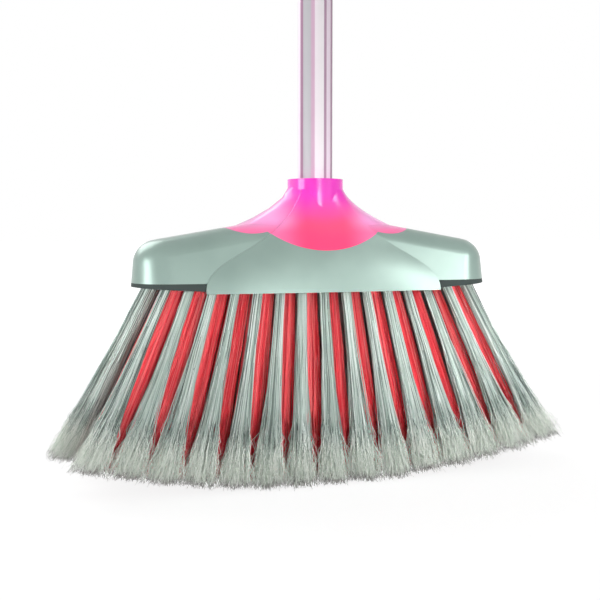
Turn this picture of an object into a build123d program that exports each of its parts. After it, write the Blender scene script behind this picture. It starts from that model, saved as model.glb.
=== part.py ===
from build123d import *
import os
from math import copysign, cos, pi, radians, sin, sqrt, tan

# An upright household broom: a fanned tuft head with a two-piece shell and a screw-in handle.
# Millimetres, +Z up. The origin is on the floor, under the handle, where the tufts stand.

# Bristles
BRISTLE_LENGTH = 119.4
TUFT_PITCH = 14.1
ROW_MARGIN = 8.25
OUTER_TUFTS = 15
INNER_TUFTS = 14
MIDDLE_TUFTS = 15
MIDDLE_PITCH = 15.2
FAN_ALONG = 1.5
FAN_ACROSS = 2.2
TIP_ARC_RADIUS = 620.0
FLOOR_CUT = 0.5
RING_STRANDS = 4
TUFT_ROOT_RADIUS = 2.0
TUFT_TIP_RADIUS = 6.5
STRAND_SIDES = 3
STRAND_ROOT_RADIUS = 0.9
STRAND_TIP_RADIUS = 2.0
STRAND_EMBED = 0.8
TUFT_SLICE = 3.6
SLICE_MARGIN = 4.0

# Head shell
HEAD_LENGTH = 237.6
HEAD_DEPTH = 59.0
HEAD_HEIGHT = 70.6
SIDE_DRAFT = 15.0
ROOF_HEIGHT = 50.3
ROOF_SLOPE = 9.8
ROOF_INSET = 12.9
ROOF_EDGE_RADIUS = 15.0
ROUND_END_SETBACK = 19.6
SHELL_WALL = 2.4
APRON_DROP = 1.4
APRON_STEP = 0.6

# Apron sections from the lower edge up: height, half width, how far the middle lies inside the head's depth
APRON_SECTIONS = (
    (0.0, 76.5, -0.9),
    (8.0, 75.0, 0.3),
    (24.6, 53.4, 4.5),
    (36.0, 35.0, 8.1),
    (48.4, 22.0, 11.0),
)

# The apron's last section: height, half width, how far the middle lies inside the collar
APRON_TOP = (64.0, 13.0, 1.2)

# Neck
COLLAR_RADIUS = 17.8
COLLAR_SEAM = 90.0
FLARE_DROP = 1.6
FLARE_TURN = (23.6, 57.6)
FLARE_RUN = (41.0, 46.4)
FLARE_END = (74.0, 35.6)
FLARE_END_SLOPE = 20.8
FLARE_SHARES = (0.0, 0.12, 0.26, 0.5, 1.0)
WING_CREST_RADIUS = 16.5
WING_DEPTH = 17.0
WING_DRAFT = 3.0
PETAL_LOW = 25.6
PETAL_CUSP_X = 36.6
PETAL_CUSP = 37.3
WING_DIP_X = 49.0
WING_DIP = 36.3
WING_TIP_X = 62.0
WING_TIP = 40.3
TONGUE_LENGTH = 14.0
TONGUE_WIDTH = 10.0
TONGUE_THICKNESS = 2.0
SOCKET_WALL = 3.4

# Brush block
BLOCK_THICKNESS = 15.6
FACE_BEND_X = 76.0
FACE_RISE = 3.4
RIM_HEIGHT = 4.8
RIM_GAP = 0.3
CATCH_X = 50.0
CATCH_LENGTH = 8.0
CATCH_HEIGHT = 2.0
CATCH_DEPTH = 1.2
CATCH_LIFT = 7.6

# Handle
HANDLE_DIAMETER = 22.0
HANDLE_LENGTH = 1200.0
FILM_THICKNESS = 0.6
TUBE_WALL = 0.4
TUBE_INSERT = 12.0
PLUG_LENGTH = 30.0
SHOULDER = 2.0
THREAD_DIAMETER = 20.0
THREAD_LENGTH = 36.0

# Hanging cap
CAP_HEIGHT = 42.0
CAP_BASE = 12.0
CAP_INSET = 0.4
TAB_THICKNESS = 9.0
TAB_SHOULDER_RADIUS = 7.0
EYE_DIAMETER = 9.0
EYE_HEIGHT = 30.0

# Clearances
BLOCK_FIT = 0.3
SLICE_FIT = 0.05
CATCH_FIT = 0.2
FILM_FIT = 0.05
PLUG_FIT = 0.05
THREAD_FIT = 0.08
COLLAR_FIT = 0.3

# Levels and radii worked out from the values above
FACE_Z = BRISTLE_LENGTH
APRON_Z = FACE_Z - APRON_DROP
RIM_TOP_Z = FACE_Z + RIM_HEIGHT
BLOCK_TOP_Z = FACE_Z + BLOCK_THICKNESS
COLLAR_TOP_Z = APRON_Z + HEAD_HEIGHT
ROOF_Z = APRON_Z + ROOF_HEIGHT
SHOULDER_Z = COLLAR_TOP_Z - TUBE_INSERT - SHOULDER
TUBE_BOTTOM_Z = SHOULDER_Z + SHOULDER
TUBE_TOP_Z = TUBE_BOTTOM_Z + HANDLE_LENGTH
HANDLE_RADIUS = HANDLE_DIAMETER / 2
TUBE_RADIUS = HANDLE_RADIUS - FILM_THICKNESS - FILM_FIT
TUBE_BORE = TUBE_RADIUS - TUBE_WALL
PLUG_RADIUS = TUBE_BORE - PLUG_FIT
THREAD_RADIUS = THREAD_DIAMETER / 2
HALF_LENGTH = HEAD_LENGTH / 2
HALF_DEPTH = HEAD_DEPTH / 2
ROOF_DEPTH = HEAD_DEPTH - 2 * ROOF_INSET
TUFT_ROWS = (
    ("front_outer_tufts", -2, OUTER_TUFTS, TUFT_PITCH),
    ("front_inner_tufts", -1, INNER_TUFTS, TUFT_PITCH),
    ("middle_tufts", 0, MIDDLE_TUFTS, MIDDLE_PITCH),
    ("rear_inner_tufts", 1, INNER_TUFTS, TUFT_PITCH),
    ("rear_outer_tufts", 2, OUTER_TUFTS, TUFT_PITCH),
)
ROW_PITCH = (HEAD_DEPTH - 2 * ROW_MARGIN) / len(TUFT_ROWS)
ROUND_END_X = HALF_LENGTH - ROUND_END_SETBACK
REACH = HEAD_LENGTH


def slab(low, high):
    """A wide level slab between two heights."""
    return Pos(0, 0, (low + high) / 2) * Box(2 * REACH, 2 * REACH, high - low)


def rod(radius, low, high):
    """An upright round bar on the handle's axis."""
    return Pos(0, 0, (low + high) / 2) * Cylinder(radius, high - low)


def roof_line(x):
    """Height of the sloping roof of the head at a distance from the handle."""
    return ROOF_Z - abs(x) * tan(radians(ROOF_SLOPE))


def side_depth(x, z):
    """Half depth of the drafted long sides of the head at a place."""
    below_roof = (roof_line(x) - z) * cos(radians(ROOF_SLOPE))
    return min(HALF_DEPTH, ROOF_DEPTH / 2 + below_roof * tan(radians(SIDE_DRAFT)))


def face_level(x):
    """Height of the block's face: level in the middle, and rising towards each end."""
    return FACE_Z + max(0.0, abs(x) - FACE_BEND_X) * tan(radians(FACE_RISE))


def above_face():
    """The space above the block's face."""
    end = face_level(REACH)
    face = Polyline((-REACH, end), (-FACE_BEND_X, FACE_Z), (FACE_BEND_X, FACE_Z), (REACH, end))
    top = Polyline((REACH, end), (REACH, COLLAR_TOP_Z), (-REACH, COLLAR_TOP_Z), (-REACH, end))
    return extrude(Plane.XZ * make_face(face + top), REACH, both=True)


def half_section(grow):
    """Half the outline across the head: the roof, a drafted side and, outside, a round edge between."""
    draft = radians(SIDE_DRAFT)
    spread = ROOF_DEPTH / 2 + grow / cos(draft)
    deep = ROOF_HEIGHT + ROOF_EDGE_RADIUS
    foot = (spread + deep * tan(draft), -deep)
    shoulder = (spread - grow * tan(draft), grow)
    radius = ROOF_EDGE_RADIUS + grow
    if grow < 0:
        cut = radius * tan(pi / 4 - draft / 2)
        lower = (shoulder[0] + cut * sin(draft), grow - cut * cos(draft))
        outline = Polyline(foot, lower, (shoulder[0] - cut, grow), (0, grow))
    else:
        outline = FilletPolyline(foot, shoulder, (0, grow), radius=radius)
    return make_face(outline + Polyline((0, grow), (0, -deep), foot))


def bar_form(grow):
    """The long head body, drafted along each roof slope: with round ends outside, and flat ones inside."""
    slope = radians(ROOF_SLOPE)
    top = (ROUND_END_X + grow, 0, roof_line(ROUND_END_X + grow))
    across = Plane(origin=top, x_dir=(0, 1, 0), z_dir=(cos(slope), 0, -sin(slope)))
    half = half_section(grow)
    section = across * (half + mirror(half, Plane.YZ))
    right = extrude(section, -REACH) & Pos(REACH, 0, 0) * Box(2 * REACH, 2 * REACH, 2 * REACH)
    if grow == 0:
        right += revolve(across * half, Axis(top, -across.y_dir), 180)
    whole = right + mirror(right, Plane.YZ)
    room = Box(2 * HEAD_LENGTH, 2 * (HALF_DEPTH + grow), 2 * REACH)
    return whole & room & slab(APRON_Z - SHELL_WALL, COLLAR_TOP_Z)


def wing():
    """One wing of the neck: a round crest that turns outwards from the collar and runs along the roof."""
    start = (COLLAR_RADIUS, COLLAR_TOP_Z - FLARE_DROP)
    turn, run, end = ((x, APRON_Z + height) for x, height in (FLARE_TURN, FLARE_RUN, FLARE_END))
    path = Spline(start, turn, run, end, tangents=[(0, -1), (1, -tan(radians(FLARE_END_SLOPE)))])
    draft = radians(WING_DRAFT)
    side = (WING_CREST_RADIUS * cos(draft), WING_CREST_RADIUS * (sin(draft) - 1))
    foot = (side[0] + (WING_DEPTH + side[1]) * tan(draft), -WING_DEPTH)
    crest = ThreePointArc(side, (0, 0), (-side[0], side[1]))
    flanks = Polyline((-side[0], side[1]), (-foot[0], foot[1]), foot, side)
    arch = make_face(crest + flanks)
    sections = []
    for share in FLARE_SHARES:
        point = path @ share
        way = path % share
        place = Plane(origin=(point.X, 0, point.Y), x_dir=(0, 1, 0), z_dir=(way.X, 0, way.Y))
        sections.append(place * arch)
    return loft(sections)


def neck_form():
    """The neck: a round collar, seamed at the rear, with a wing towards each end of the head."""
    collar = Rot(0, 0, COLLAR_SEAM) * rod(COLLAR_RADIUS, BLOCK_TOP_Z, COLLAR_TOP_Z)
    right = wing()
    return collar.fuse(right, mirror(right, Plane.YZ))


def apron_form():
    """The raised front and rear panels, which spread from the collar to the lower edge."""
    top_height, top_half_width, top_inset = APRON_TOP
    places = [(height, half_width, HALF_DEPTH - inset) for height, half_width, inset in APRON_SECTIONS]
    places.append((top_height, top_half_width, COLLAR_RADIUS - top_inset))
    sections = []
    for height, half_width, middle in places:
        z = APRON_Z + height
        collar_depth = sqrt(max(0.0, COLLAR_RADIUS**2 - half_width**2))
        edge = max(side_depth(half_width, z), collar_depth) + APRON_STEP
        front = ThreePointArc((-half_width, -edge), (0, -middle), (half_width, -edge))
        right = Line((half_width, -edge), (half_width, edge))
        rear = ThreePointArc((half_width, edge), (0, middle), (-half_width, edge))
        left = Line((-half_width, edge), (-half_width, -edge))
        sections.append(Pos(0, 0, z) * make_face(front + right + rear + left))
    return loft(sections)


def petal_region():
    """The space above the petal line, where the neck's colour meets the cover."""
    cusp = (PETAL_CUSP_X, APRON_Z + PETAL_CUSP)
    dip = (WING_DIP_X, APRON_Z + WING_DIP)
    tip = (WING_TIP_X, APRON_Z + WING_TIP)
    far = (WING_TIP_X, COLLAR_TOP_Z + SHELL_WALL)
    petal = ThreePointArc((-cusp[0], cusp[1]), (0, APRON_Z + PETAL_LOW), cusp)
    right = ThreePointArc(cusp, dip, tip)
    left = mirror(right, Plane.YZ)
    over = Polyline(tip, far, (-far[0], far[1]), (-tip[0], tip[1]))
    return extrude(Plane.XZ * make_face(petal + right + over + left), REACH, both=True)


def tongues():
    """Two flat tongues of the neck, under the cover's roof at the tips of the wings."""
    under = roof_line(WING_TIP_X) - (SHELL_WALL + TONGUE_THICKNESS / 2) / cos(radians(ROOF_SLOPE))
    tongue = Box(TONGUE_LENGTH, TONGUE_WIDTH, TONGUE_THICKNESS)
    right = Pos(WING_TIP_X, 0, under) * Rot(0, ROOF_SLOPE, 0) * tongue
    return [right, mirror(right, Plane.YZ)]


def catch_boxes(margin):
    """Four places where the cover snaps over the block, on both long sides."""
    length = CATCH_LENGTH + 2 * margin
    height = CATCH_HEIGHT + 2 * margin
    z = FACE_Z + CATCH_LIFT
    boxes = [Pos(x, 0, z) * Box(length, HEAD_DEPTH, height) for x in (-CATCH_X, CATCH_X)]
    return boxes[0] + boxes[1]


def half_row(count, pitch):
    """Distance from the middle of a row to its last tuft."""
    return (count - 1) * pitch / 2


def tuft_places():
    """The tuft rows by name: how far across each lies, and where its tufts stand along it."""
    rows = {}
    for name, step, count, pitch in TUFT_ROWS:
        start = -half_row(count, pitch)
        rows[name] = (step * ROW_PITCH, [start + i * pitch for i in range(count)])
    return rows


def tip_level(x):
    """Height of the trimmed tips: an arc along the head, cut level where it meets the floor."""
    arc = TIP_ARC_RADIUS - sqrt(TIP_ARC_RADIUS**2 - x**2)
    return max(0.0, arc - FLOOR_CUT)


def ring(x, y, z, radius, count, start=0.0):
    """Points spaced evenly round a level circle, from a starting angle."""
    turns = [start + 2 * pi * i / count for i in range(count)]
    return [(x + radius * cos(turn), y + radius * sin(turn), z) for turn in turns]


def frustum(low, high):
    """A closed flat-sided solid between two level outlines with as many corners."""
    sides = [(low[i - 1], low[i], high[i], high[i - 1]) for i in range(len(low))]
    return Solid(Shell([Face(Wire.make_polygon(ring)) for ring in (low, high, *sides)]))


def strand(x, y, away_x, away_y):
    """One bundle of filaments, from its root in the block to its trimmed tip."""
    tip_x = x * FAN_ALONG + away_x * TUFT_TIP_RADIUS
    tip_y = y * FAN_ACROSS + away_y * TUFT_TIP_RADIUS
    root_x = x + away_x * TUFT_ROOT_RADIUS
    root_y = y + away_y * TUFT_ROOT_RADIUS
    outwards = copysign(pi / 2, y)
    root_z = face_level(root_x) + STRAND_EMBED
    root = ring(root_x, root_y, root_z, STRAND_ROOT_RADIUS, STRAND_SIDES, outwards)
    tip = ring(tip_x, tip_y, tip_level(tip_x), STRAND_TIP_RADIUS, STRAND_SIDES, outwards)
    return frustum(tip, root)


def tuft(x, y):
    """One tuft: a strand in the middle and a ring of strands around it."""
    around = [strand(x, y, away_x, away_y) for away_x, away_y, z in ring(0.0, 0.0, 0.0, 1.0, RING_STRANDS)]
    return [strand(x, y, 0.0, 0.0), *around]


def slice_box(y, places, margin):
    """The slice of the block's face that carries one row of tufts."""
    length = 2 * (places[-1] + SLICE_MARGIN + margin)
    width = ROW_PITCH - 2 * SLICE_FIT + 2 * margin
    return Pos(0, y, FACE_Z + TUFT_SLICE / 2) * Box(length, width, TUFT_SLICE)


def tuft_row(y, places):
    """A row of tufts, fused to its slice of the block's face."""
    strands = [s for x in places for s in tuft(x, y)]
    bed = slice_box(y, places, 0.0) & above_face()
    return bed.fuse(*strands)


def brush_block(bar):
    """The block inside the head: it carries the tufts, and its ends show below the cover."""
    core = bar_form(-SHELL_WALL - BLOCK_FIT) & slab(FACE_Z, BLOCK_TOP_Z)
    rim = bar & slab(FACE_Z, RIM_TOP_Z)
    rim -= Box(2 * (APRON_SECTIONS[0][1] + RIM_GAP), 2 * REACH, 2 * REACH)
    block = (core + rim) & above_face()
    inside = bar_form(-SHELL_WALL - CATCH_DEPTH - CATCH_FIT)
    block -= catch_boxes(CATCH_FIT) - inside
    recesses = [slice_box(y, places, SLICE_FIT) for y, places in tuft_places().values()]
    return block.cut(*recesses)


def head_cover(shell, petals):
    """The silver shell, with its raised aprons, seats for the neck's tongues and four snap catches."""
    catches = (catch_boxes(0.0) & bar_form(-SHELL_WALL / 2)) - bar_form(-SHELL_WALL - CATCH_DEPTH)
    return (shell - petals).cut(*tongues()) + catches


def neck_socket(shell, petals):
    """The coloured neck: petals flush with the cover, tongues under its roof and the handle's socket."""
    socket = rod(THREAD_RADIUS + THREAD_FIT + SOCKET_WALL, BLOCK_TOP_Z, ROOF_Z)
    neck = (shell & petals).fuse(socket, *tongues())
    neck -= rod(THREAD_RADIUS + THREAD_FIT, 0, COLLAR_TOP_Z)
    return neck - rod(HANDLE_RADIUS + COLLAR_FIT, SHOULDER_Z, COLLAR_TOP_Z + SHELL_WALL)


def threaded_tip():
    """The handle's lower plug: pushed into the tube, with a shoulder and a screw spigot."""
    spigot = rod(THREAD_RADIUS, SHOULDER_Z - THREAD_LENGTH, SHOULDER_Z)
    shoulder = rod(HANDLE_RADIUS, SHOULDER_Z, TUBE_BOTTOM_Z)
    return spigot + shoulder + rod(PLUG_RADIUS, TUBE_BOTTOM_Z, TUBE_BOTTOM_Z + PLUG_LENGTH)


def hang_cap():
    """The handle's upper plug: a round base that flattens to a tab with a hanging eye."""
    radius = HANDLE_RADIUS - CAP_INSET
    top = TUBE_TOP_Z + CAP_HEIGHT
    bend_z = top - radius
    crown = Pos(0, TUBE_TOP_Z) * Rectangle(2 * radius, 2 * (bend_z - TUBE_TOP_Z))
    crown += Pos(0, bend_z) * Circle(radius)
    body = rod(radius, TUBE_TOP_Z, top) & extrude(Plane.XZ * crown, radius, both=True)
    half_tab = TAB_THICKNESS / 2
    foot = TUBE_TOP_Z + CAP_BASE
    bend = TAB_SHOULDER_RADIUS
    flat = FilletPolyline((REACH, foot), (half_tab, foot), (half_tab, top + bend), radius=bend)
    flat += Polyline((half_tab, top + bend), (REACH, top + bend), (REACH, foot))
    relief = extrude(Plane.YZ * make_face(flat), HANDLE_DIAMETER, both=True)
    body -= relief + mirror(relief, Plane.XZ)
    body -= Pos(0, 0, TUBE_TOP_Z + EYE_HEIGHT) * Rot(90, 0, 0) * Cylinder(EYE_DIAMETER / 2, HANDLE_DIAMETER)
    return body + rod(PLUG_RADIUS, TUBE_TOP_Z - PLUG_LENGTH, TUBE_TOP_Z)


def pipe(radius, bore):
    """A round tube of the handle's length."""
    return rod(radius, TUBE_BOTTOM_Z, TUBE_TOP_Z) - rod(bore, TUBE_BOTTOM_Z, TUBE_TOP_Z)


def head_nodes():
    """The shell, the neck, the block and the tuft rows."""
    bar = bar_form(0.0)
    above_rim = bar & slab(RIM_TOP_Z, COLLAR_TOP_Z)
    outer = above_rim + neck_form() + apron_form()
    shell = outer - bar_form(-SHELL_WALL)
    petals = petal_region()
    nodes = {
        "brush_block": brush_block(bar),
        "head_cover": head_cover(shell, petals),
        "neck_socket": neck_socket(shell, petals),
    }
    for name, (y, places) in tuft_places().items():
        nodes[name] = tuft_row(y, places)
    return nodes


def handle_nodes():
    """The tube, its film and the plugs at its two ends."""
    return {
        "handle_tube": pipe(TUBE_RADIUS, TUBE_BORE),
        "handle_film": pipe(HANDLE_RADIUS, HANDLE_RADIUS - FILM_THICKNESS),
        "threaded_tip": threaded_tip(),
        "hang_cap": hang_cap(),
    }


os.makedirs("parts", exist_ok=True)
for node, shape in {**head_nodes(), **handle_nodes()}.items():
    export_step(shape, f"parts/{node}.step")
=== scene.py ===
"""Dresses the broom: filament tufts, a screw thread, moulded finishes, a film with print and painted
reflections, studio and camera.
"""

from __future__ import annotations

import functools
import logging
import math
from dataclasses import dataclass
from enum import Enum
from typing import Any, NamedTuple, Union

import bpy
import numpy as np
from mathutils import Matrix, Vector

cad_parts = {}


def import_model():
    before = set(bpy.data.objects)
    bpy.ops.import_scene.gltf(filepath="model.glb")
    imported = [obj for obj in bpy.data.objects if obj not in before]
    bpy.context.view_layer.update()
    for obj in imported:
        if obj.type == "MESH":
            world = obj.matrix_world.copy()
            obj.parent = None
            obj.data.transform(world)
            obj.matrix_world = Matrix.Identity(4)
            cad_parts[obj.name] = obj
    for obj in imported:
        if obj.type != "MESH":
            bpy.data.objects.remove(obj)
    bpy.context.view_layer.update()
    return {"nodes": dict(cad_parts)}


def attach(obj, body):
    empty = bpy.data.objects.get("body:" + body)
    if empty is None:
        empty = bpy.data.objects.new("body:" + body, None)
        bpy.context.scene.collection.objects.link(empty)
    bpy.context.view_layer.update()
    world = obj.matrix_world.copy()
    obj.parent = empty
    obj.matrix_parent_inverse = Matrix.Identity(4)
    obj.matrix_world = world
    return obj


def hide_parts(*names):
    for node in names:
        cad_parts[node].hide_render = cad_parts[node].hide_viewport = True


LOG = logging.getLogger("broom")
MM = 0.001
FULL_TURN = 2 * math.pi
GOLDEN_ANGLE = math.pi * (3 - math.sqrt(5))
NO_ENDS = np.empty((0, 3), dtype=int)
Colour = tuple[float, float, float, float]
Span = tuple[float, float]
Settings = dict[str, Any]
WHITE: Colour = (1.0, 1.0, 1.0, 1.0)


def tint(red: int, green: int, blue: int) -> Colour:
    """Turns an 8-bit display colour into the linear colour that a shader takes, by the display's own curve.

    Args:
        red: Red, 0 to 255.
        green: Green, 0 to 255.
        blue: Blue, 0 to 255.

    Returns:
        The linear colour with full opacity.
    """
    shares = [value / 255 for value in (red, green, blue)]
    linear = [s / 12.92 if s <= 0.04045 else ((s + 0.055) / 1.055) ** 2.4 for s in shares]
    return (linear[0], linear[1], linear[2], 1.0)


class Wire:
    """A shader output on which arithmetic adds Math nodes."""

    def __init__(self, graph: Graph, socket: bpy.types.NodeSocket) -> None:
        """Keeps the graph that the socket belongs to."""
        self.graph = graph
        self.socket = socket

    def math(self, operation: str, first: Input, second: Input) -> Wire:
        """Adds a Math node of two inputs."""
        return self.graph.node("ShaderNodeMath", {"operation": operation}, {0: first, 1: second})

    def __add__(self, other: Input) -> Wire:
        """Adds."""
        return self.math("ADD", self, other)

    def __radd__(self, other: Input) -> Wire:
        """Adds, from the right."""
        return self.math("ADD", other, self)

    def __sub__(self, other: Input) -> Wire:
        """Subtracts."""
        return self.math("SUBTRACT", self, other)

    def __rsub__(self, other: Input) -> Wire:
        """Subtracts this from a value."""
        return self.math("SUBTRACT", other, self)

    def __mul__(self, other: Input) -> Wire:
        """Multiplies."""
        return self.math("MULTIPLY", self, other)

    def __rmul__(self, other: Input) -> Wire:
        """Multiplies, from the right."""
        return self.math("MULTIPLY", other, self)

    def __truediv__(self, other: Input) -> Wire:
        """Divides."""
        return self.math("DIVIDE", self, other)

    def __rtruediv__(self, other: Input) -> Wire:
        """Divides a value by this."""
        return self.math("DIVIDE", other, self)

    def __abs__(self) -> Wire:
        """Takes the distance from zero."""
        return self.math("ABSOLUTE", self, 0.0)

    def most(self, other: Input) -> Wire:
        """Takes the larger of two values."""
        return self.math("MAXIMUM", self, other)

    def swing(self, size: float) -> Wire:
        """Turns a value from 0 to 1 into one about zero, as wide as the size."""
        return (self - 0.5) * size

    def fade(self, low: float, high: float) -> Wire:
        """Maps a range to 0 to 1 with soft ends."""
        return self.graph.node(
            "ShaderNodeMapRange",
            {"interpolation_type": "SMOOTHSTEP"},
            {"Value": self, "From Min": low, "From Max": high},
        )


Input = Union[Wire, float, Colour, Vector]


class Graph:
    """The nodes of a material or of the room, built from expressions on wires."""

    MIX_FIRST, MIX_SECOND, MIX_RESULT = 6, 7, 2

    def __init__(self, owner: Union[bpy.types.Material, bpy.types.World]) -> None:
        """Starts from the plain nodes of a new material or world.

        Args:
            owner: The new material or world.
        """
        self.owner = owner
        self.owner.use_nodes = True
        self.tree = self.owner.node_tree

    def make(self, kind: str, settings: Settings, sockets: dict[Any, Input]) -> bpy.types.Node:
        """Adds a node, sets it up and feeds it.

        Args:
            kind: The node's type.
            settings: Its properties; "stops" gives the places and colours of a ramp.
            sockets: Its inputs by name or number, each a wire or a value.

        Returns:
            The new node.
        """
        made = self.tree.nodes.new(kind)
        for key, value in settings.items():
            if key == "stops":
                self.set_stops(made.color_ramp, value)
            else:
                setattr(made, key, value)
        for key, value in sockets.items():
            self.feed(made.inputs[key], value)
        return made

    def node(self, kind: str, settings: Settings, sockets: dict[Any, Input], output: Any = 0) -> Wire:
        """Adds a node and gives one of its outputs as a wire."""
        return Wire(self, self.make(kind, settings, sockets).outputs[output])

    def feed(self, socket: bpy.types.NodeSocket, value: Input) -> None:
        """Links a wire to a socket, or sets the socket's own value.

        Args:
            socket: The socket to feed.
            value: A wire, a number, a colour or a vector.
        """
        if isinstance(value, Wire):
            self.tree.links.new(value.socket, socket)
        else:
            socket.default_value = value

    @staticmethod
    def set_stops(ramp: bpy.types.ColorRamp, stops: list[tuple[float, Colour]]) -> None:
        """Fills a colour ramp with stops in order.

        Args:
            ramp: The new ramp.
            stops: The place from 0 to 1 and the colour of each stop.
        """
        while len(ramp.elements) < len(stops):
            ramp.elements.new(1.0)
        for element, (place, colour) in zip(ramp.elements, stops):
            element.position = place
            element.color = colour

    def place(self) -> Wire:
        """The point on the piece, in metres of the shared frame."""
        return self.node("ShaderNodeTexCoord", {}, {}, "Object")

    def part(self, vector: Wire, axis: str) -> Wire:
        """One axis of a vector."""
        return self.node("ShaderNodeSeparateXYZ", {}, {0: vector}, axis)

    def noise(self, vector: Wire, scale: float, detail: float = 2.0) -> Wire:
        """A soft random value from 0 to 1."""
        sockets = {"Vector": vector, "Scale": scale, "Detail": detail}
        return self.node("ShaderNodeTexNoise", {}, sockets, "Fac")

    def stretch(self, vector: Wire, scale: tuple[float, float, float]) -> Wire:
        """Scales a vector axis by axis."""
        return self.node("ShaderNodeMapping", {}, {"Vector": vector, "Scale": Vector(scale)})

    def mix(self, share: Input, first: Input, second: Input) -> Wire:
        """Blends two colours by a share."""
        sockets = {0: share, self.MIX_FIRST: first, self.MIX_SECOND: second}
        return self.node("ShaderNodeMix", {"data_type": "RGBA"}, sockets, self.MIX_RESULT)

    def ramp(self, share: Wire, stops: list[tuple[float, Colour]]) -> Wire:
        """Looks a colour up on a ramp."""
        return self.node("ShaderNodeValToRGB", {"stops": stops}, {0: share})

    def bump(self, height: Wire, depth: float, strength: float) -> Wire:
        """Turns a height into a surface normal."""
        return self.node("ShaderNodeBump", {}, {"Height": height, "Distance": depth, "Strength": strength})

    def surface(self, values: dict[str, Input]) -> bpy.types.Material:
        """Feeds a material's surface shader.

        Args:
            values: The shader's inputs by name.

        Returns:
            The finished material.
        """
        shader = self.tree.nodes["Principled BSDF"]
        for key, value in values.items():
            self.feed(shader.inputs[key], value)
        return self.owner


def material_graph(name: str) -> Graph:
    """The nodes of a new material."""
    return Graph(bpy.data.materials.new(name))


@dataclass(frozen=True)
class MouldedFinish:
    """Moulded plastic or plain metal: a clouded colour under a gloss, with a fine grain."""

    name: str
    deep: Colour
    pale: Colour
    roughness: float
    metal: float = 0.0
    coat: float = 0.0
    shine: float = 0.5
    coat_roughness: float = 0.3
    cloud_scale: float = 18.0
    cloud_detail: float = 3.0
    cloud_range: Span = (0.3, 0.7)
    cloud_dulling: float = 0.06
    grain_scale: float = 2600.0
    grain_depth: float = 0.04 * MM
    grain_strength: float = 0.25
    grain_dulling: float = 0.05

    def material(self) -> bpy.types.Material:
        """Builds the material.

        Returns:
            The new material.
        """
        graph = material_graph(self.name)
        place = graph.place()
        cloud = graph.noise(place, self.cloud_scale, self.cloud_detail)
        grain = graph.noise(place, self.grain_scale)
        dulling = cloud.swing(self.cloud_dulling) + grain.swing(self.grain_dulling)
        return graph.surface(
            {
                "Base Color": graph.mix(cloud.fade(*self.cloud_range), self.deep, self.pale),
                "Roughness": self.roughness + dulling,
                "Metallic": self.metal,
                "Specular IOR Level": self.shine,
                "Coat Weight": self.coat,
                "Coat Roughness": self.coat_roughness,
                "Normal": graph.bump(grain, self.grain_depth, self.grain_strength),
            }
        )


@dataclass(frozen=True)
class PetalFinish:
    """Gloss plastic of the neck: coral at the petals, magenta at the collar, with a painted pale sheen on the
    wings.

    The wings' painted sheen stands in for their highlight and weakens towards their lower edge.
    """

    name: str
    coral: Colour
    magenta: Colour
    painted_sheen: Colour
    rise_z: Span
    painted_sheen_reach: Span
    painted_sheen_z: Span
    low_painted_sheen: float
    cloud_scale: float = 40.0
    cloud_detail: float = 3.0
    rise_drift: float = 6.0 * MM
    painted_sheen_drift: float = 4.0 * MM
    grain_scale: float = 2400.0
    grain_depth: float = 0.03 * MM
    grain_strength: float = 0.2
    grain_dulling: float = 0.05
    roughness: float = 0.2
    shine: float = 0.3
    coat: float = 0.25
    coat_roughness: float = 0.08

    def material(self) -> bpy.types.Material:
        """Builds the material.

        Returns:
            The new material.
        """
        graph = material_graph(self.name)
        place = graph.place()
        height = graph.part(place, "Z")
        reach = abs(graph.part(place, "X"))
        cloud = graph.noise(place, self.cloud_scale, self.cloud_detail)
        rise = (height + cloud.swing(self.rise_drift)).fade(*self.rise_z)
        # Painted sheen: the wings pale with distance from the middle, standing in for the highlight on them.
        wing_sheen = (reach + cloud.swing(self.painted_sheen_drift)).fade(*self.painted_sheen_reach)
        painted_sheen = wing_sheen * (self.low_painted_sheen + (1.0 - self.low_painted_sheen) * height.fade(*self.painted_sheen_z))
        body = graph.mix(rise, self.coral, self.magenta)
        grain = graph.noise(place, self.grain_scale)
        return graph.surface(
            {
                "Base Color": graph.mix(painted_sheen, body, self.painted_sheen),
                "Roughness": self.roughness + grain.swing(self.grain_dulling),
                "Specular IOR Level": self.shine,
                "Coat Weight": self.coat,
                "Coat Roughness": self.coat_roughness,
                "Normal": graph.bump(grain, self.grain_depth, self.grain_strength),
            }
        )


@dataclass(frozen=True)
class FilmFinish:
    """Gloss film round the handle: pink, white and silver stripes along it, partly print and partly painted
    reflection.
    """

    name: str
    print_and_reflection_stripes: tuple[tuple[float, Colour], ...]
    repeats: int
    turn: float
    streak_stretch: tuple[float, float, float] = (400.0, 400.0, 3.0)
    streak_detail: float = 3.0
    streak_drift: float = 0.02
    streak_depth: float = 0.02 * MM
    streak_strength: float = 0.2
    scuff_stretch: tuple[float, float, float] = (90.0, 90.0, 14.0)
    scuff_detail: float = 4.0
    scuff_dulling: float = 0.08
    roughness: float = 0.26
    shine: float = 0.15
    coat: float = 0.05
    coat_roughness: float = 0.05

    def material(self) -> bpy.types.Material:
        """Builds the material.

        Returns:
            The new material.
        """
        graph = material_graph(self.name)
        place = graph.place()
        across = {0: graph.part(place, "Y"), 1: graph.part(place, "X")}
        angle = graph.node("ShaderNodeMath", {"operation": "ARCTAN2"}, across)
        streak = graph.noise(graph.stretch(place, self.streak_stretch), 1.0, self.streak_detail)
        lap = (angle / FULL_TURN + self.turn) * float(self.repeats) + streak.swing(self.streak_drift)
        share = graph.node("ShaderNodeMath", {"operation": "FRACT"}, {0: lap})
        scuff = graph.noise(graph.stretch(place, self.scuff_stretch), 1.0, self.scuff_detail)
        return graph.surface(
            {
                "Base Color": graph.ramp(share, list(self.print_and_reflection_stripes)),
                "Roughness": self.roughness + scuff * self.scuff_dulling,
                "Specular IOR Level": self.shine,
                "Coat Weight": self.coat,
                "Coat Roughness": self.coat_roughness,
                "Normal": graph.bump(streak, self.streak_depth, self.streak_strength),
            }
        )


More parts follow.
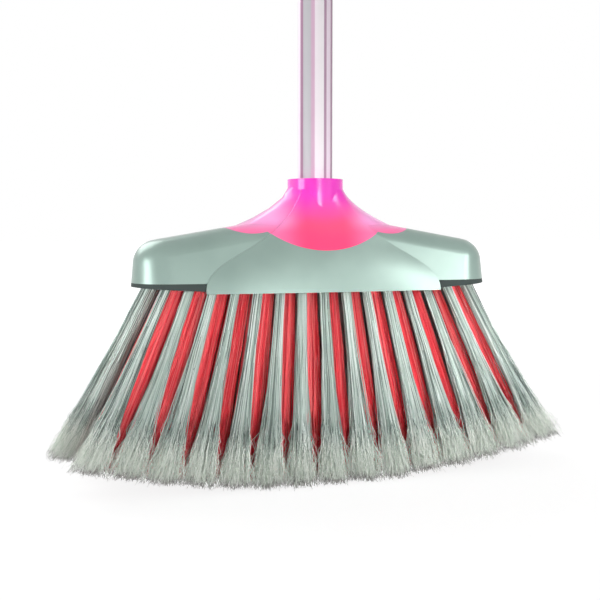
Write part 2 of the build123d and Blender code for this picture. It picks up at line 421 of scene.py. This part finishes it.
@dataclass(frozen=True)
class FilamentFinish:
    """Drawn plastic filament, coloured by its own map: a tone from 0 to 1 and a share from root to tip."""

    name: str
    dark_tone_and_shade: Colour
    body: Colour
    light: Colour
    tip_deep: Colour
    tip: Colour
    painted_tip_shadow: Colour
    tip_start: float
    tip_end: float = 0.9
    tip_drift: float = 0.08
    painted_tip_shadow_start: float = 0.97
    body_tone: float = 0.45
    painted_shade_range: Span = (0.15, 0.66)
    painted_low_shade: float = 0.27
    crimp_stretch: tuple[float, float, float] = (500.0, 500.0, 160.0)
    crimp_depth: float = 0.2 * MM
    crimp_strength: float = 0.3
    crimp_dulling: float = 0.2
    roughness: float = 0.38

    def material(self) -> bpy.types.Material:
        """Builds the material.

        Returns:
            The new material.
        """
        graph = material_graph(self.name)
        chart = graph.node("ShaderNodeTexCoord", {}, {}, "UV")
        tone = graph.part(chart, "X")
        along = graph.part(chart, "Y")
        crimp = graph.noise(graph.stretch(graph.place(), self.crimp_stretch), 1.0)
        fresh = graph.ramp(tone, [(0.0, self.dark_tone_and_shade), (self.body_tone, self.body), (1.0, self.light)])
        # Painted shade: lower down the strands darken towards the dark colour, standing in for the shadow in
        # the gaps between strands.
        painted_shade_body = graph.mix(along.fade(*self.painted_shade_range) * self.painted_low_shade, fresh, self.dark_tone_and_shade)
        frayed = (along + tone.swing(self.tip_drift)).fade(self.tip_start, self.tip_end)
        pale = graph.mix(frayed, painted_shade_body, graph.mix(tone, self.tip_deep, self.tip))
        return graph.surface(
            {
                # Painted shadow: the last few hundredths to the tip darken, standing in for the contact
                # shadow where the tips meet the floor.
                "Base Color": graph.mix(along.fade(self.painted_tip_shadow_start, 1.0), pale, self.painted_tip_shadow),
                "Roughness": self.roughness + crimp * self.crimp_dulling,
                "Normal": graph.bump(crimp, self.crimp_depth, self.crimp_strength),
            }
        )


class Finishes(Enum):
    """The finishes of this broom."""

    COVER = MouldedFinish(
        "pearl_silver",
        deep=tint(126, 147, 139),
        pale=tint(138, 159, 151),
        roughness=0.3,
        metal=0.35,
        coat=0.15,
    )
    NECK = PetalFinish(
        "petal_pink",
        coral=tint(254, 64, 120),
        magenta=tint(246, 56, 200),
        painted_sheen=tint(255, 170, 228),
        rise_z=(158.0 * MM, 181.0 * MM),
        painted_sheen_reach=(11.0 * MM, 34.0 * MM),
        painted_sheen_z=(154.0 * MM, 163.5 * MM),
        low_painted_sheen=0.35,
    )
    BLOCK = MouldedFinish(
        "block_grey", deep=tint(52, 60, 58), pale=tint(62, 71, 69), roughness=0.55, shine=0.12
    )
    FILM = FilmFinish(
        "film_print_and_painted_reflections",
        # Painted reflection: the white and the mauve stripes are painted highlights and painted shade of the
        # lamps on a gloss tube; the film itself is pale pink and silver.
        print_and_reflection_stripes=(
            (0.0, tint(196, 194, 199)),
            (0.24, tint(200, 198, 203)),
            (0.26, tint(218, 182, 206)),
            (0.34, tint(222, 186, 210)),
            (0.36, tint(252, 242, 249)),
            (0.605, tint(255, 250, 253)),
            (0.625, tint(192, 154, 180)),
            (0.69, tint(196, 160, 184)),
            (0.71, tint(252, 238, 250)),
            (0.87, tint(248, 228, 244)),
            (0.89, tint(174, 136, 161)),
            (0.985, tint(170, 132, 157)),
        ),
        repeats=3,
        turn=0.0897,
    )
    GREY_FILAMENT = FilamentFinish(
        "grey_filament",
        dark_tone_and_shade=tint(88, 102, 96),
        body=tint(190, 208, 199),
        light=tint(248, 255, 251),
        tip_deep=tint(204, 216, 202),
        tip=tint(252, 255, 249),
        painted_tip_shadow=tint(118, 112, 110),
        tip_start=0.72,
    )
    RED_FILAMENT = FilamentFinish(
        "red_filament",
        dark_tone_and_shade=tint(222, 34, 50),
        body=tint(252, 62, 76),
        light=tint(255, 140, 140),
        tip_deep=tint(226, 96, 98),
        tip=tint(250, 186, 180),
        painted_tip_shadow=tint(140, 92, 92),
        tip_start=0.84,
    )
    STEEL = MouldedFinish(
        "tube_steel", deep=tint(168, 168, 172), pale=tint(188, 188, 192), roughness=0.35, metal=0.9
    )
    TIP = MouldedFinish(
        "tip_white", deep=tint(214, 214, 210), pale=tint(232, 232, 229), roughness=0.45, coat=0.1
    )
    CAP = MouldedFinish(
        "cap_pink", deep=tint(247, 84, 170), pale=tint(251, 104, 186), roughness=0.22, coat=0.5
    )


class Paintbox:
    """Builds each finish once and puts it on pieces."""

    def __init__(self) -> None:
        """Starts with no materials built."""
        self.made: dict[Finishes, bpy.types.Material] = {}

    def dress(self, piece: bpy.types.Object, finish: Finishes) -> None:
        """Puts a finish on a piece in place of its plain one.

        Args:
            piece: The piece to paint.
            finish: The finish to put on it.
        """
        if finish not in self.made:
            self.made[finish] = finish.value.material()
        piece.data.materials.clear()
        piece.data.materials.append(self.made[finish])


def lay_mesh(
    name: str,
    points: np.ndarray,
    faces: np.ndarray,
    chart: np.ndarray | None = None,
    ends: np.ndarray = NO_ENDS,
) -> bpy.types.Object:
    """Makes a smooth mesh object at the origin.

    Args:
        name: The piece's name.
        points: Its vertices, one row each, in metres.
        faces: Vertex numbers, one row a face of four sides.
        chart: A map place for each vertex, or None.
        ends: Vertex numbers of the three-sided faces that close ends, if there are any.

    Returns:
        The new object, linked to the scene.
    """
    mesh = bpy.data.meshes.new(name)
    mesh.from_pydata(points.tolist(), [], faces.tolist() + ends.tolist())
    mesh.polygons.foreach_set("use_smooth", np.ones(len(mesh.polygons), dtype=bool))
    if chart is not None:
        corner = np.empty(len(mesh.loops), dtype=np.int32)
        mesh.loops.foreach_get("vertex_index", corner)
        spots = chart[corner].astype(np.float32).ravel()
        mesh.uv_layers.new(name="filament").data.foreach_set("uv", spots)
    mesh.update()
    piece = bpy.data.objects.new(name, mesh)
    bpy.context.scene.collection.objects.link(piece)
    return piece


def ring_angles(sides: int) -> np.ndarray:
    """Evenly spaced angles round a ring."""
    return FULL_TURN * np.arange(sides) / sides


def tube_faces(rings: int, sides: int) -> np.ndarray:
    """Joins rings of vertices to a tube: four-sided faces between rings, each ring joined round.

    Args:
        rings: How many rings there are.
        sides: How many vertices a ring has.

    Returns:
        Vertex numbers, one row a face, which point outwards where the rings go down.
    """
    ring = np.arange(rings - 1)[:, None] * sides
    side = np.arange(sides)[None, :]
    after = (side + 1) % sides
    quads = np.stack([ring + side, ring + sides + side, ring + sides + after, ring + after], axis=-1)
    return quads.reshape(-1, 4)


class Skin(NamedTuple):
    """Tubes as arrays: vertices, faces of the sides, a map place for each vertex and faces of the ends."""

    points: np.ndarray
    faces: np.ndarray
    chart: np.ndarray
    ends: np.ndarray


@dataclass(frozen=True)
class BlockFace:
    """The block's lower face: level in the middle, and rising by a slope beyond a place towards each end."""

    level: float = 119.4 * MM
    bend: float = 76.0 * MM
    slope: float = math.tan(math.radians(3.4))

    def height(self, along: np.ndarray) -> np.ndarray:
        """The face's height at a place along the head."""
        return self.level + np.maximum(np.abs(along) - self.bend, 0.0) * self.slope


@dataclass(frozen=True)
class Bundle:
    """How a tuft spreads: its half widths along and across the row at root and tip.

    They grow with a power of the share from root to tip. Flags tells how many split ends a filament has.
    """

    root: Span
    tip: Span
    power: float
    flags: int


@dataclass
class TuftRow:
    """One row of tufts: filaments that fan out from the block and fray at their tips.

    Flags are a filament's split ends, a core is the streaked body inside a tuft, and a share runs from 0 at
    the root to 1 at the tip.
    """

    node: str
    finish: Finishes
    slot: str
    bundle: Bundle
    face: BlockFace
    across: float
    count: int
    pitch: float
    seed: int
    filaments: int = 96
    rings: int = 7
    sides: int = 3
    filament_radius: float = 0.34 * MM
    taper_shares: tuple[float, ...] = (0.0, 0.7, 1.0)
    taper: tuple[float, ...] = (1.0, 0.95, 0.3)
    disc_jitter: float = 0.09
    stray: float = 0.8 * MM
    wave: float = 0.35 * MM
    uneven_cut: float = 2.2 * MM
    flag_rings: int = 6
    flag_range: Span = (0.68, 0.9)
    flag_taper: Span = (0.62, 0.3)
    flag_bend: float = 3.2 * MM
    flag_bend_shares: Span = (1.0, 0.6)
    flag_crimp: float = 1.3 * MM
    core_fill: float = 0.74
    core_end: float = 0.84
    core_closing: float = 4.0
    core_tones: Span = (0.2, 0.9)
    core_rings: int = 9
    core_sides: int = 40
    root_depth: float = 1.6 * MM
    fan_along: float = 1.5
    fan_across: float = 2.2
    tip_arc: float = 620.0 * MM
    floor_cut: float = 0.5 * MM
    reach: Span = (170.0 * MM, 46.8 * MM)

    def half_widths(self, share: np.ndarray) -> np.ndarray:
        """A tuft's half widths along and across the row, which grow with a power of the share."""
        root, tip = np.array(self.bundle.root), np.array(self.bundle.tip)
        return root + (tip - root) * share[..., None] ** self.bundle.power

    def tip_height(self, along: np.ndarray) -> np.ndarray:
        """The height of the trimmed arc above the floor at a place along the row."""
        arc = self.tip_arc - np.sqrt(self.tip_arc**2 - along**2)
        return np.maximum(arc - self.floor_cut, 0.0)

    def centres(self) -> np.ndarray:
        """The tufts' places along the row at the block."""
        return (np.arange(self.count) - (self.count - 1) / 2) * self.pitch

    def spread(self) -> tuple[np.ndarray, np.ndarray, np.random.Generator]:
        """Lays out the row's filaments.

        A tuft's filaments sit on a sunflower spiral: the k-th of n, counted from 0, lies at radius
        sqrt((k + 1/2) / n) and turns by the golden angle each time. Chance then moves each a little.

        Returns:
            The tuft places along the row and each filament's place in its tuft's unit disc, both one row a
            filament, and the random source.
        """
        source = np.random.default_rng(self.seed)
        step = np.arange(self.filaments)
        radius = np.sqrt((step + 0.5) / self.filaments)
        turn = step * GOLDEN_ANGLE
        disc = np.stack([radius * np.cos(turn), radius * np.sin(turn)], axis=-1)
        places = np.repeat(self.centres(), self.filaments)
        discs = np.tile(disc, (self.count, 1)) + source.normal(0, self.disc_jitter, (len(places), 2))
        return places, discs, source

    def paths(self) -> tuple[np.ndarray, np.ndarray, np.random.Generator]:
        """Works out each filament's middle line.

        At share t a filament is at root + (tip - root) * t, plus its place in the tuft's disc times its half
        widths at t, plus a stray that grows with t ** 2 and a small wave. The tip lies on the trimmed arc, a
        little short of it by chance.

        Returns:
            The lines by filament, ring and axis, a tone from 0 to 1 for each, and the random source.
        """
        places, discs, source = self.spread()
        share = np.linspace(0.0, 1.0, self.rings)[None, :, None]
        root = np.stack([places, np.full_like(places, self.across)], axis=-1)
        fan = np.array([self.fan_along, self.fan_across])
        radius = self.half_widths(share[:, :, 0])
        stray = source.normal(0, self.stray, (len(places), 1, 2)) * share**2
        wave = source.normal(0, self.wave, (len(places), self.rings, 2)) * np.sin(math.pi * share)
        flat = root[:, None, :] * (1 + (fan - 1) * share) + discs[:, None, :] * radius + stray + wave
        short = np.abs(source.normal(0, self.uneven_cut, len(places)))
        tip_z = self.tip_height(flat[:, -1, 0]) + short
        root_z = (self.face.height(places) + self.root_depth)[:, None, None]
        height = root_z + (tip_z[:, None, None] - root_z) * share
        tone = source.uniform(0.0, 1.0, len(places))
        return np.concatenate([flat, height], axis=-1), tone, source

    def sheath(self, lines: np.ndarray, radius: np.ndarray, tone: np.ndarray, along: np.ndarray) -> Skin:
        """Carries a small level triangle along each middle line, closed at the tip by one face.

        Args:
            lines: Middle lines, by line, ring and axis.
            radius: The triangle's radius at each ring.
            tone: Each line's tone.
            along: The share from root to tip, by line and ring.

        Returns:
            The sheaths of all lines.
        """
        turn = ring_angles(self.sides)
        ring = np.stack([np.cos(turn), np.sin(turn), np.zeros(self.sides)], axis=-1)
        points = lines[:, :, None, :] + ring[None, None] * radius[None, :, None, None]
        rings = lines.shape[1]
        start = np.arange(len(lines))[:, None, None] * rings * self.sides
        faces = (tube_faces(rings, self.sides)[None] + start).reshape(-1, 4)
        chart = np.stack(np.broadcast_arrays(tone[:, None, None], along[:, :, None]), axis=-1)
        chart = np.repeat(chart, self.sides, axis=2).reshape(-1, 2)
        tips = start[:, :, 0] + (rings - 1) * self.sides + np.arange(self.sides)[None, ::-1]
        return Skin(points.reshape(-1, 3), faces, chart, tips)

    def flag_lines(self, lines: np.ndarray, source: np.random.Generator) -> tuple[np.ndarray, np.ndarray]:
        """Splits each tip into finer ends.

        An end leaves its filament at a share between two limits and bends away from it by chance, with the
        square of its own share, down to the filament's tip level, with a small crimp at each ring.

        Args:
            lines: The filaments' middle lines.
            source: The random source.

        Returns:
            The ends' middle lines and the share along the filament at each of their rings.
        """
        parent = np.repeat(lines, self.bundle.flags, axis=0)
        start = source.uniform(*self.flag_range, len(parent))[:, None]
        own = np.linspace(0.0, 1.0, self.flag_rings)[None, :]
        along = start + (1.0 - start) * own
        spot = along * (self.rings - 1)
        low = np.clip(np.floor(spot).astype(int), 0, self.rings - 2)
        part = (spot - low)[:, :, None]
        row = np.arange(len(parent))[:, None]
        base = parent[row, low] * (1 - part) + parent[row, low + 1] * part
        bend = source.normal(0, self.flag_bend, (len(parent), 1, 2)) * own[:, :, None] ** 2
        crimp = source.normal(0, self.flag_crimp, (len(parent), self.flag_rings, 2)) * (own > 0)[:, :, None]
        base[:, :, :2] += bend * np.array(self.flag_bend_shares) + crimp
        return base, along

    def cores(self, source: np.random.Generator) -> Skin:
        """Fills each tuft's inside with one streaked body.

        At share t and angle a it is the tuft's middle line plus a fixed part of the half widths at t times
        the cosine and sine of a. It closes to a point at its lower end.

        Args:
            source: The random source.

        Returns:
            The bodies of all tufts.
        """
        share = np.linspace(0.0, self.core_end, self.core_rings)
        turn = ring_angles(self.core_sides)
        close = np.minimum(1.0, self.core_closing * (1.0 - share / self.core_end))
        half = self.half_widths(share) * self.core_fill * close[:, None]
        centre = self.centres()[:, None]
        middle = centre * (1 + (self.fan_along - 1) * share)
        depth = self.across * (1 + (self.fan_across - 1) * share)
        root_z = self.face.height(centre) + self.root_depth
        level = root_z + (self.tip_height(centre * self.fan_along) - root_z) * share
        x = middle[:, :, None] + half[None, :, 0, None] * np.cos(turn)
        y = np.broadcast_to(depth[None, :, None] + half[None, :, 1, None] * np.sin(turn), x.shape)
        z = np.broadcast_to(level[:, :, None], x.shape)
        points = np.stack([x, y, z], axis=-1).reshape(-1, 3)
        tone = source.uniform(*self.core_tones, (self.count, 1, self.core_sides))
        chart = np.stack(np.broadcast_arrays(tone, share[None, :, None]), axis=-1).reshape(-1, 2)
        start = np.arange(self.count)[:, None, None] * self.core_rings * self.core_sides
        faces = (tube_faces(self.core_rings, self.core_sides)[None] + start).reshape(-1, 4)
        return Skin(points, faces, chart, NO_ENDS)

    def build(self) -> bpy.types.Object:
        """Builds the row's mesh from its filaments, their split ends and the tufts' cores.

        Returns:
            The new object.
        """
        lines, tone, source = self.paths()
        share = np.linspace(0.0, 1.0, self.rings)
        radius = self.filament_radius * np.interp(share, self.taper_shares, self.taper)
        along = np.broadcast_to(share, lines.shape[:2])
        body = self.sheath(lines, radius, tone, along)
        flags, flag_along = self.flag_lines(lines, source)
        flag_radius = self.filament_radius * np.linspace(*self.flag_taper, self.flag_rings)
        frayed = self.sheath(flags, flag_radius, source.uniform(0.0, 1.0, len(flags)), flag_along)
        skins = [body, frayed, self.cores(source)]
        starts = np.cumsum([0] + [len(skin.points) for skin in skins])
        points = np.concatenate([skin.points for skin in skins])
        points[:, :2] = np.clip(points[:, :2], -np.array(self.reach), self.reach)
        faces = np.concatenate([skin.faces + start for skin, start in zip(skins, starts)])
        ends = np.concatenate([skin.ends + start for skin, start in zip(skins, starts)])
        chart = np.concatenate([skin.chart for skin in skins])
        return lay_mesh(self.node + "_filaments", points, faces, chart, ends)

    def dress(self, paints: Paintbox) -> bpy.types.Object:
        """Builds the row, paints it and puts it in place of its solid.

        Args:
            paints: The finishes.

        Returns:
            The new object.
        """
        piece = self.build()
        paints.dress(piece, self.finish)
        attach(piece, "head")
        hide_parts(self.node)
        return piece


@dataclass
class TuftBeds:
    """The face of the block under the tuft rows, with a dimple where each tuft comes out."""

    face: BlockFace
    depth: float = 3.6 * MM
    margin: float = 4.0 * MM
    width: float = 8.4 * MM
    dimple: float = 1.2 * MM
    dimple_margin: float = 1.06
    cells_along: int = 260
    cells_across: int = 10

    def bed(self, row: TuftRow) -> tuple[np.ndarray, np.ndarray]:
        """Makes one row's bed.

        The lower face is the block's but for its dimples: at distance d from the nearest tuft, told in the
        tuft's own half widths and a margin, it rises by the dimple's depth times exp(-d ** 4). The upper
        face is level, and the rims join them.

        Args:
            row: The tuft row that the bed carries.

        Returns:
            The vertices and the faces.
        """
        reach = (row.count - 1) / 2 * row.pitch + self.margin
        along = np.linspace(-reach, reach, self.cells_along + 1)
        across = np.linspace(-self.width / 2, self.width / 2, self.cells_across + 1)
        x, y = np.meshgrid(along, across, indexing="ij")
        slot = x / row.pitch - (0.5 if row.count % 2 == 0 else 0.0)
        near = np.clip(np.round(slot), -(row.count // 2), (row.count - 1) // 2)
        root_along, root_across = row.bundle.root
        gap = np.hypot((slot - near) * row.pitch / root_along, y / root_across)
        lower = self.face.height(x) + self.dimple * np.exp(-((gap / self.dimple_margin) ** 4))
        upper = np.full_like(lower, self.face.level + self.depth)
        sheets = [np.stack([x, y + row.across, z], axis=-1).reshape(-1, 3) for z in (lower, upper)]
        number = np.arange(x.size).reshape(x.shape)
        corners = [number[:-1, :-1], number[:-1, 1:], number[1:, 1:], number[1:, :-1]]
        cells = np.stack(corners, axis=-1).reshape(-1, 4)
        rim = np.concatenate([number[:-1, 0], number[-1, :-1], number[:0:-1, -1], number[0, :0:-1]])
        after = np.roll(rim, -1)
        walls = np.stack([rim, after, after + x.size, rim + x.size], axis=-1)
        return np.concatenate(sheets), np.concatenate([cells, cells[:, ::-1] + x.size, walls])

    def dress(self, rows: list[TuftRow], paints: Paintbox) -> bpy.types.Object:
        """Builds the beds of all rows as one piece of the block's colour.

        Args:
            rows: The tuft rows.
            paints: The finishes.

        Returns:
            The new object.
        """
        beds = [self.bed(row) for row in rows]
        starts = np.cumsum([0] + [len(points) for points, _ in beds])
        points = np.concatenate([points for points, _ in beds])
        faces = np.concatenate([faces + start for (_, faces), start in zip(beds, starts)])
        piece = lay_mesh("tuft_beds", points, faces)
        paints.dress(piece, Finishes.BLOCK)
        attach(piece, "head")
        return piece


@dataclass
class ScrewTip:
    """The handle's lower plug with its screw thread, shoulder and tube plug."""

    low_z: float = 138.6 * MM
    shoulder_z: float = 174.6 * MM
    tube_z: float = 176.6 * MM
    top_z: float = 206.6 * MM
    crest: float = 9.98 * MM
    root: float = 8.7 * MM
    lead: float = 5.0 * MM
    lead_in: float = 2.0 * MM
    tooth_peak: float = 1.6
    tooth_slope: float = 5.2
    shoulder_radius: float = 11.0 * MM
    plug_radius: float = 9.9 * MM
    thread_rows: int = 200
    around: int = 72

    def build(self) -> bpy.types.Object:
        """Builds the tip as a radius over height and angle.

        On the spigot the radius is root + (crest - root) * ridge, where ridge is a tooth with a flat crest,
        a function of the share height / lead - angle / turn. It fades out below the shoulder, and the spigot
        narrows over the lead-in. The shoulder and the plug are plain steps.

        Returns:
            The new object.
        """
        turn = ring_angles(self.around)
        thread_z = np.linspace(self.low_z, self.shoulder_z, self.thread_rows)
        share = (thread_z[:, None] / self.lead - turn[None, :] / FULL_TURN) % 1.0
        ridge = np.clip(self.tooth_peak - self.tooth_slope * np.abs(share - 0.5), 0.0, 1.0)
        fade = np.clip((self.shoulder_z - thread_z) / self.lead, 0.0, 1.0)[:, None]
        thread = self.root + (self.crest - self.root) * ridge * fade
        nose = self.crest - np.clip(self.low_z + self.lead_in - thread_z, 0.0, None)[:, None]
        spigot = np.minimum(thread, nose)
        steps = [
            (self.shoulder_z, self.shoulder_radius),
            (self.tube_z, self.shoulder_radius),
            (self.tube_z, self.plug_radius),
            (self.top_z, self.plug_radius),
        ]
        plain = np.array([[radius] * self.around for _, radius in steps])
        radius = np.concatenate([np.zeros((1, self.around)), spigot, plain, np.zeros((1, self.around))])
        level = np.concatenate([[self.low_z], thread_z, [z for z, _ in steps], [self.top_z]])
        height = np.broadcast_to(level[:, None], radius.shape)
        points = np.stack([radius * np.cos(turn), radius * np.sin(turn), height], axis=-1).reshape(-1, 3)
        return lay_mesh("screw_tip", points, tube_faces(len(level), self.around)[:, ::-1])

    def dress(self, paints: Paintbox) -> bpy.types.Object:
        """Builds the tip, paints it and puts it in place of its plain solid.

        Args:
            paints: The finishes.

        Returns:
            The new object.
        """
        piece = self.build()
        paints.dress(piece, Finishes.TIP)
        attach(piece, "handle")
        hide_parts("threaded_tip")
        return piece


@dataclass(frozen=True)
class Lamp:
    """A soft light: the place it is aimed at, the way to it, and its size and strength.

    The way is an azimuth and an elevation in degrees, and away is how far off it stands. The size is its
    width and height, the power is in watts, and the spread is the angle in degrees over which it fans out.
    """

    name: str
    aim: Vector
    way: Span
    away: float
    size: Span
    power: float
    spread: float = 180.0


@dataclass
class Studio:
    """The pale floor, the soft lights and the camera at the photograph's place."""

    target: Vector
    lamps: tuple[Lamp, ...]
    distance: float = 0.58
    azimuth: float = -18.3
    elevation: float = 4.3
    lens: float = 53.6
    sensor: float = 36.0
    clip: Span = (0.01, 100.0)
    image_width: int = 600
    aim_shift: float = 15.0
    floor_size: float = 30.0
    floor_colour: Colour = (0.86, 0.86, 0.86, 1.0)
    floor_roughness: float = 0.9
    room_light: float = 0.36
    room_white: float = 1.0
    glow: float = 1.165
    glow_share: float = 0.72
    shadow_reach: Span = (0.35, 1.2)
    white_rays: tuple[str, ...] = ("Is Camera Ray", "Is Glossy Ray", "Is Transmission Ray")

    def direction(self, azimuth: float, elevation: float) -> Vector:
        """The way from the object to a viewer at two angles in degrees."""
        turn, rise = math.radians(azimuth), math.radians(elevation)
        return Vector((math.sin(turn) * math.cos(rise), -math.cos(turn) * math.cos(rise), math.sin(rise)))

    def camera(self) -> None:
        """Puts the camera where the photograph was taken, aimed so that the handle is right of the middle."""
        data = bpy.data.cameras.new("photo_camera")
        data.lens = self.lens
        data.sensor_width = self.sensor
        data.clip_start, data.clip_end = self.clip
        back = self.direction(self.azimuth, self.elevation)
        right = Vector((0.0, 0.0, 1.0)).cross(back).normalized()
        pixel = self.sensor / self.lens / self.image_width * self.distance
        item = bpy.data.objects.new("photo_camera", data)
        item.location = self.target + back * self.distance
        aim = self.target - right * (self.aim_shift * pixel)
        item.rotation_euler = (aim - item.location).to_track_quat("-Z", "Y").to_euler()
        bpy.context.scene.collection.objects.link(item)
        bpy.context.scene.camera = item

    def light(self, lamp: Lamp) -> None:
        """Adds a soft light, aimed at its own place on the broom.

        Args:
            lamp: The light to add.
        """
        data = bpy.data.lights.new(lamp.name, "AREA")
        data.shape = "RECTANGLE"
        data.size, data.size_y = lamp.size
        data.energy = lamp.power
        data.spread = math.radians(lamp.spread)
        item = bpy.data.objects.new(lamp.name, data)
        back = self.direction(*lamp.way)
        item.location = lamp.aim + back * lamp.away
        item.rotation_euler = (-back).to_track_quat("-Z", "Y").to_euler()
        bpy.context.scene.collection.objects.link(item)

    def white_share(self, graph: Graph) -> Wire:
        """1 for the rays that see the studio as white, and 0 for all others."""
        path = graph.make("ShaderNodeLightPath", {}, {})
        return functools.reduce(Wire.most, [Wire(graph, path.outputs[name]) for name in self.white_rays])

    def floor(self) -> None:
        """Lays a wide floor, which the camera and reflections see as white, with a shadow near the broom."""
        half = self.floor_size / 2
        corners = np.array([[-half, -half, 0.0], [half, -half, 0.0], [half, half, 0.0], [-half, half, 0.0]])
        piece = lay_mesh("studio_floor", corners, np.array([[0, 1, 2, 3]]))
        graph = material_graph("studio_floor")
        graph.surface({"Base Color": self.floor_colour, "Roughness": self.floor_roughness})
        pale = Wire(graph, graph.tree.nodes["Principled BSDF"].outputs[0])
        glow = graph.node("ShaderNodeEmission", {}, {"Color": WHITE, "Strength": self.glow})
        away = graph.node("ShaderNodeVectorMath", {"operation": "LENGTH"}, {0: graph.place()}, "Value")
        open_floor = self.glow_share + away.fade(*self.shadow_reach) * (1.0 - self.glow_share)
        share = self.white_share(graph) * open_floor
        mixed = graph.node("ShaderNodeMixShader", {}, {0: share, 1: pale, 2: glow})
        graph.feed(graph.tree.nodes["Material Output"].inputs["Surface"], mixed)
        piece.data.materials.append(graph.owner)

    def world(self) -> None:
        """Fills the room with soft light, white where the camera or a reflection sees it."""
        graph = Graph(bpy.data.worlds.new("studio"))
        levels = {"To Min": self.room_light, "To Max": self.room_white}
        level = graph.node("ShaderNodeMapRange", {}, {"Value": self.white_share(graph), **levels})
        back = graph.tree.nodes["Background"]
        graph.feed(back.inputs["Strength"], level)
        graph.feed(back.inputs["Color"], WHITE)
        bpy.context.scene.world = graph.owner

    def build(self) -> None:
        """Sets up the whole studio."""
        self.camera()
        self.floor()
        self.world()
        for lamp in self.lamps:
            self.light(lamp)
        bpy.context.scene.view_settings.view_transform = "Standard"


def studio_lamps() -> tuple[Lamp, ...]:
    """Lights the head and the tufts.

    Returns:
        A key at the head's right end, a strip at its left end, two fills on the tufts and two soft lights.
    """
    right_end = Vector((0.15, -0.02, 0.09))
    head = Vector((0.0, 0.0, 0.111))
    tufts = Vector((0.0, -0.02, 0.07))
    right_tufts = Vector((0.12, -0.03, 0.065))
    return (
        Lamp("key_right", right_end, (40.0, 20.0), away=0.9, size=(0.3, 0.3), power=0.135, spread=34.0),
        Lamp("strip_left", head, (-78.0, 5.0), away=1.5, size=(0.7, 0.5), power=10.0),
        Lamp("tuft_fill", tufts, (0.0, 4.0), away=1.1, size=(0.9, 0.12), power=0.33, spread=20.0),
        Lamp("tuft_right", right_tufts, (-14.0, 3.0), away=1.0, size=(0.2, 0.04), power=0.03, spread=10.0),
        Lamp("soft_front", head, (24.0, 8.0), away=2.2, size=(1.8, 1.8), power=10.0),
        Lamp("soft_back", head, (212.0, 40.0), away=2.4, size=(1.6, 1.6), power=26.0),
    )


def tuft_rows(face: BlockFace) -> list[TuftRow]:
    """Sets out the five rows from front to rear, grey outside and in the middle, red between.

    Args:
        face: The block's lower face.

    Returns:
        The rows.
    """
    fluffy = Bundle(root=(2.7 * MM, 2.7 * MM), tip=(9.8 * MM, 5.8 * MM), power=2.4, flags=3)
    inner = Bundle(root=(4.6 * MM, 2.7 * MM), tip=(10.5 * MM, 5.8 * MM), power=2.0, flags=3)
    plain = Bundle(root=(5.4 * MM, 4.0 * MM), tip=(8.4 * MM, 8.4 * MM), power=1.0, flags=2)
    grey: Settings = {"finish": Finishes.GREY_FILAMENT, "slot": "tuft_grey", "face": face}
    red: Settings = {"finish": Finishes.RED_FILAMENT, "slot": "tuft_red", "face": face}
    outer_row = {**grey, "bundle": fluffy, "count": 15, "pitch": 14.1 * MM}
    middle_row = {**grey, "bundle": inner, "count": 15, "pitch": 15.2 * MM, "tip_arc": 720.0 * MM}
    red_row = {**red, "bundle": plain, "count": 14, "pitch": 14.1 * MM, "fan_across": 2.6}
    row_gap = 8.5 * MM
    return [
        TuftRow("front_outer_tufts", across=-2 * row_gap, seed=11, **outer_row),
        TuftRow("front_inner_tufts", across=-row_gap, seed=12, **red_row),
        TuftRow("middle_tufts", across=0.0, seed=13, **middle_row),
        TuftRow("rear_inner_tufts", across=row_gap, seed=14, **red_row),
        TuftRow("rear_outer_tufts", across=2 * row_gap, seed=15, **outer_row),
    ]


def dress_solids(nodes: dict[str, bpy.types.Object], paints: Paintbox) -> None:
    """Paints the solids that stay in view.

    Args:
        nodes: The solids by name.
        paints: The finishes.
    """
    finishes = {
        "head_cover": Finishes.COVER,
        "neck_socket": Finishes.NECK,
        "brush_block": Finishes.BLOCK,
        "handle_tube": Finishes.STEEL,
        "handle_film": Finishes.FILM,
        "hang_cap": Finishes.CAP,
    }
    for name, finish in finishes.items():
        paints.dress(nodes[name], finish)
        LOG.info("dressed %s", name)


def main() -> None:
    """Builds the pieces in order and sets up the studio."""
    logging.basicConfig(level=logging.INFO, format="%(name)s: %(message)s")
    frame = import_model()
    paints = Paintbox()
    dress_solids(frame["nodes"], paints)
    face = BlockFace()
    rows = tuft_rows(face)
    for row in rows:
        LOG.info("built %s", row.dress(paints).name)
    LOG.info("built %s", TuftBeds(face).dress(rows, paints).name)
    LOG.info("built %s", ScrewTip().dress(paints).name)
    head_middle = Vector((0.0, 0.0, 0.1111))
    Studio(head_middle, studio_lamps()).build()


if __name__ == "__main__":
    main()
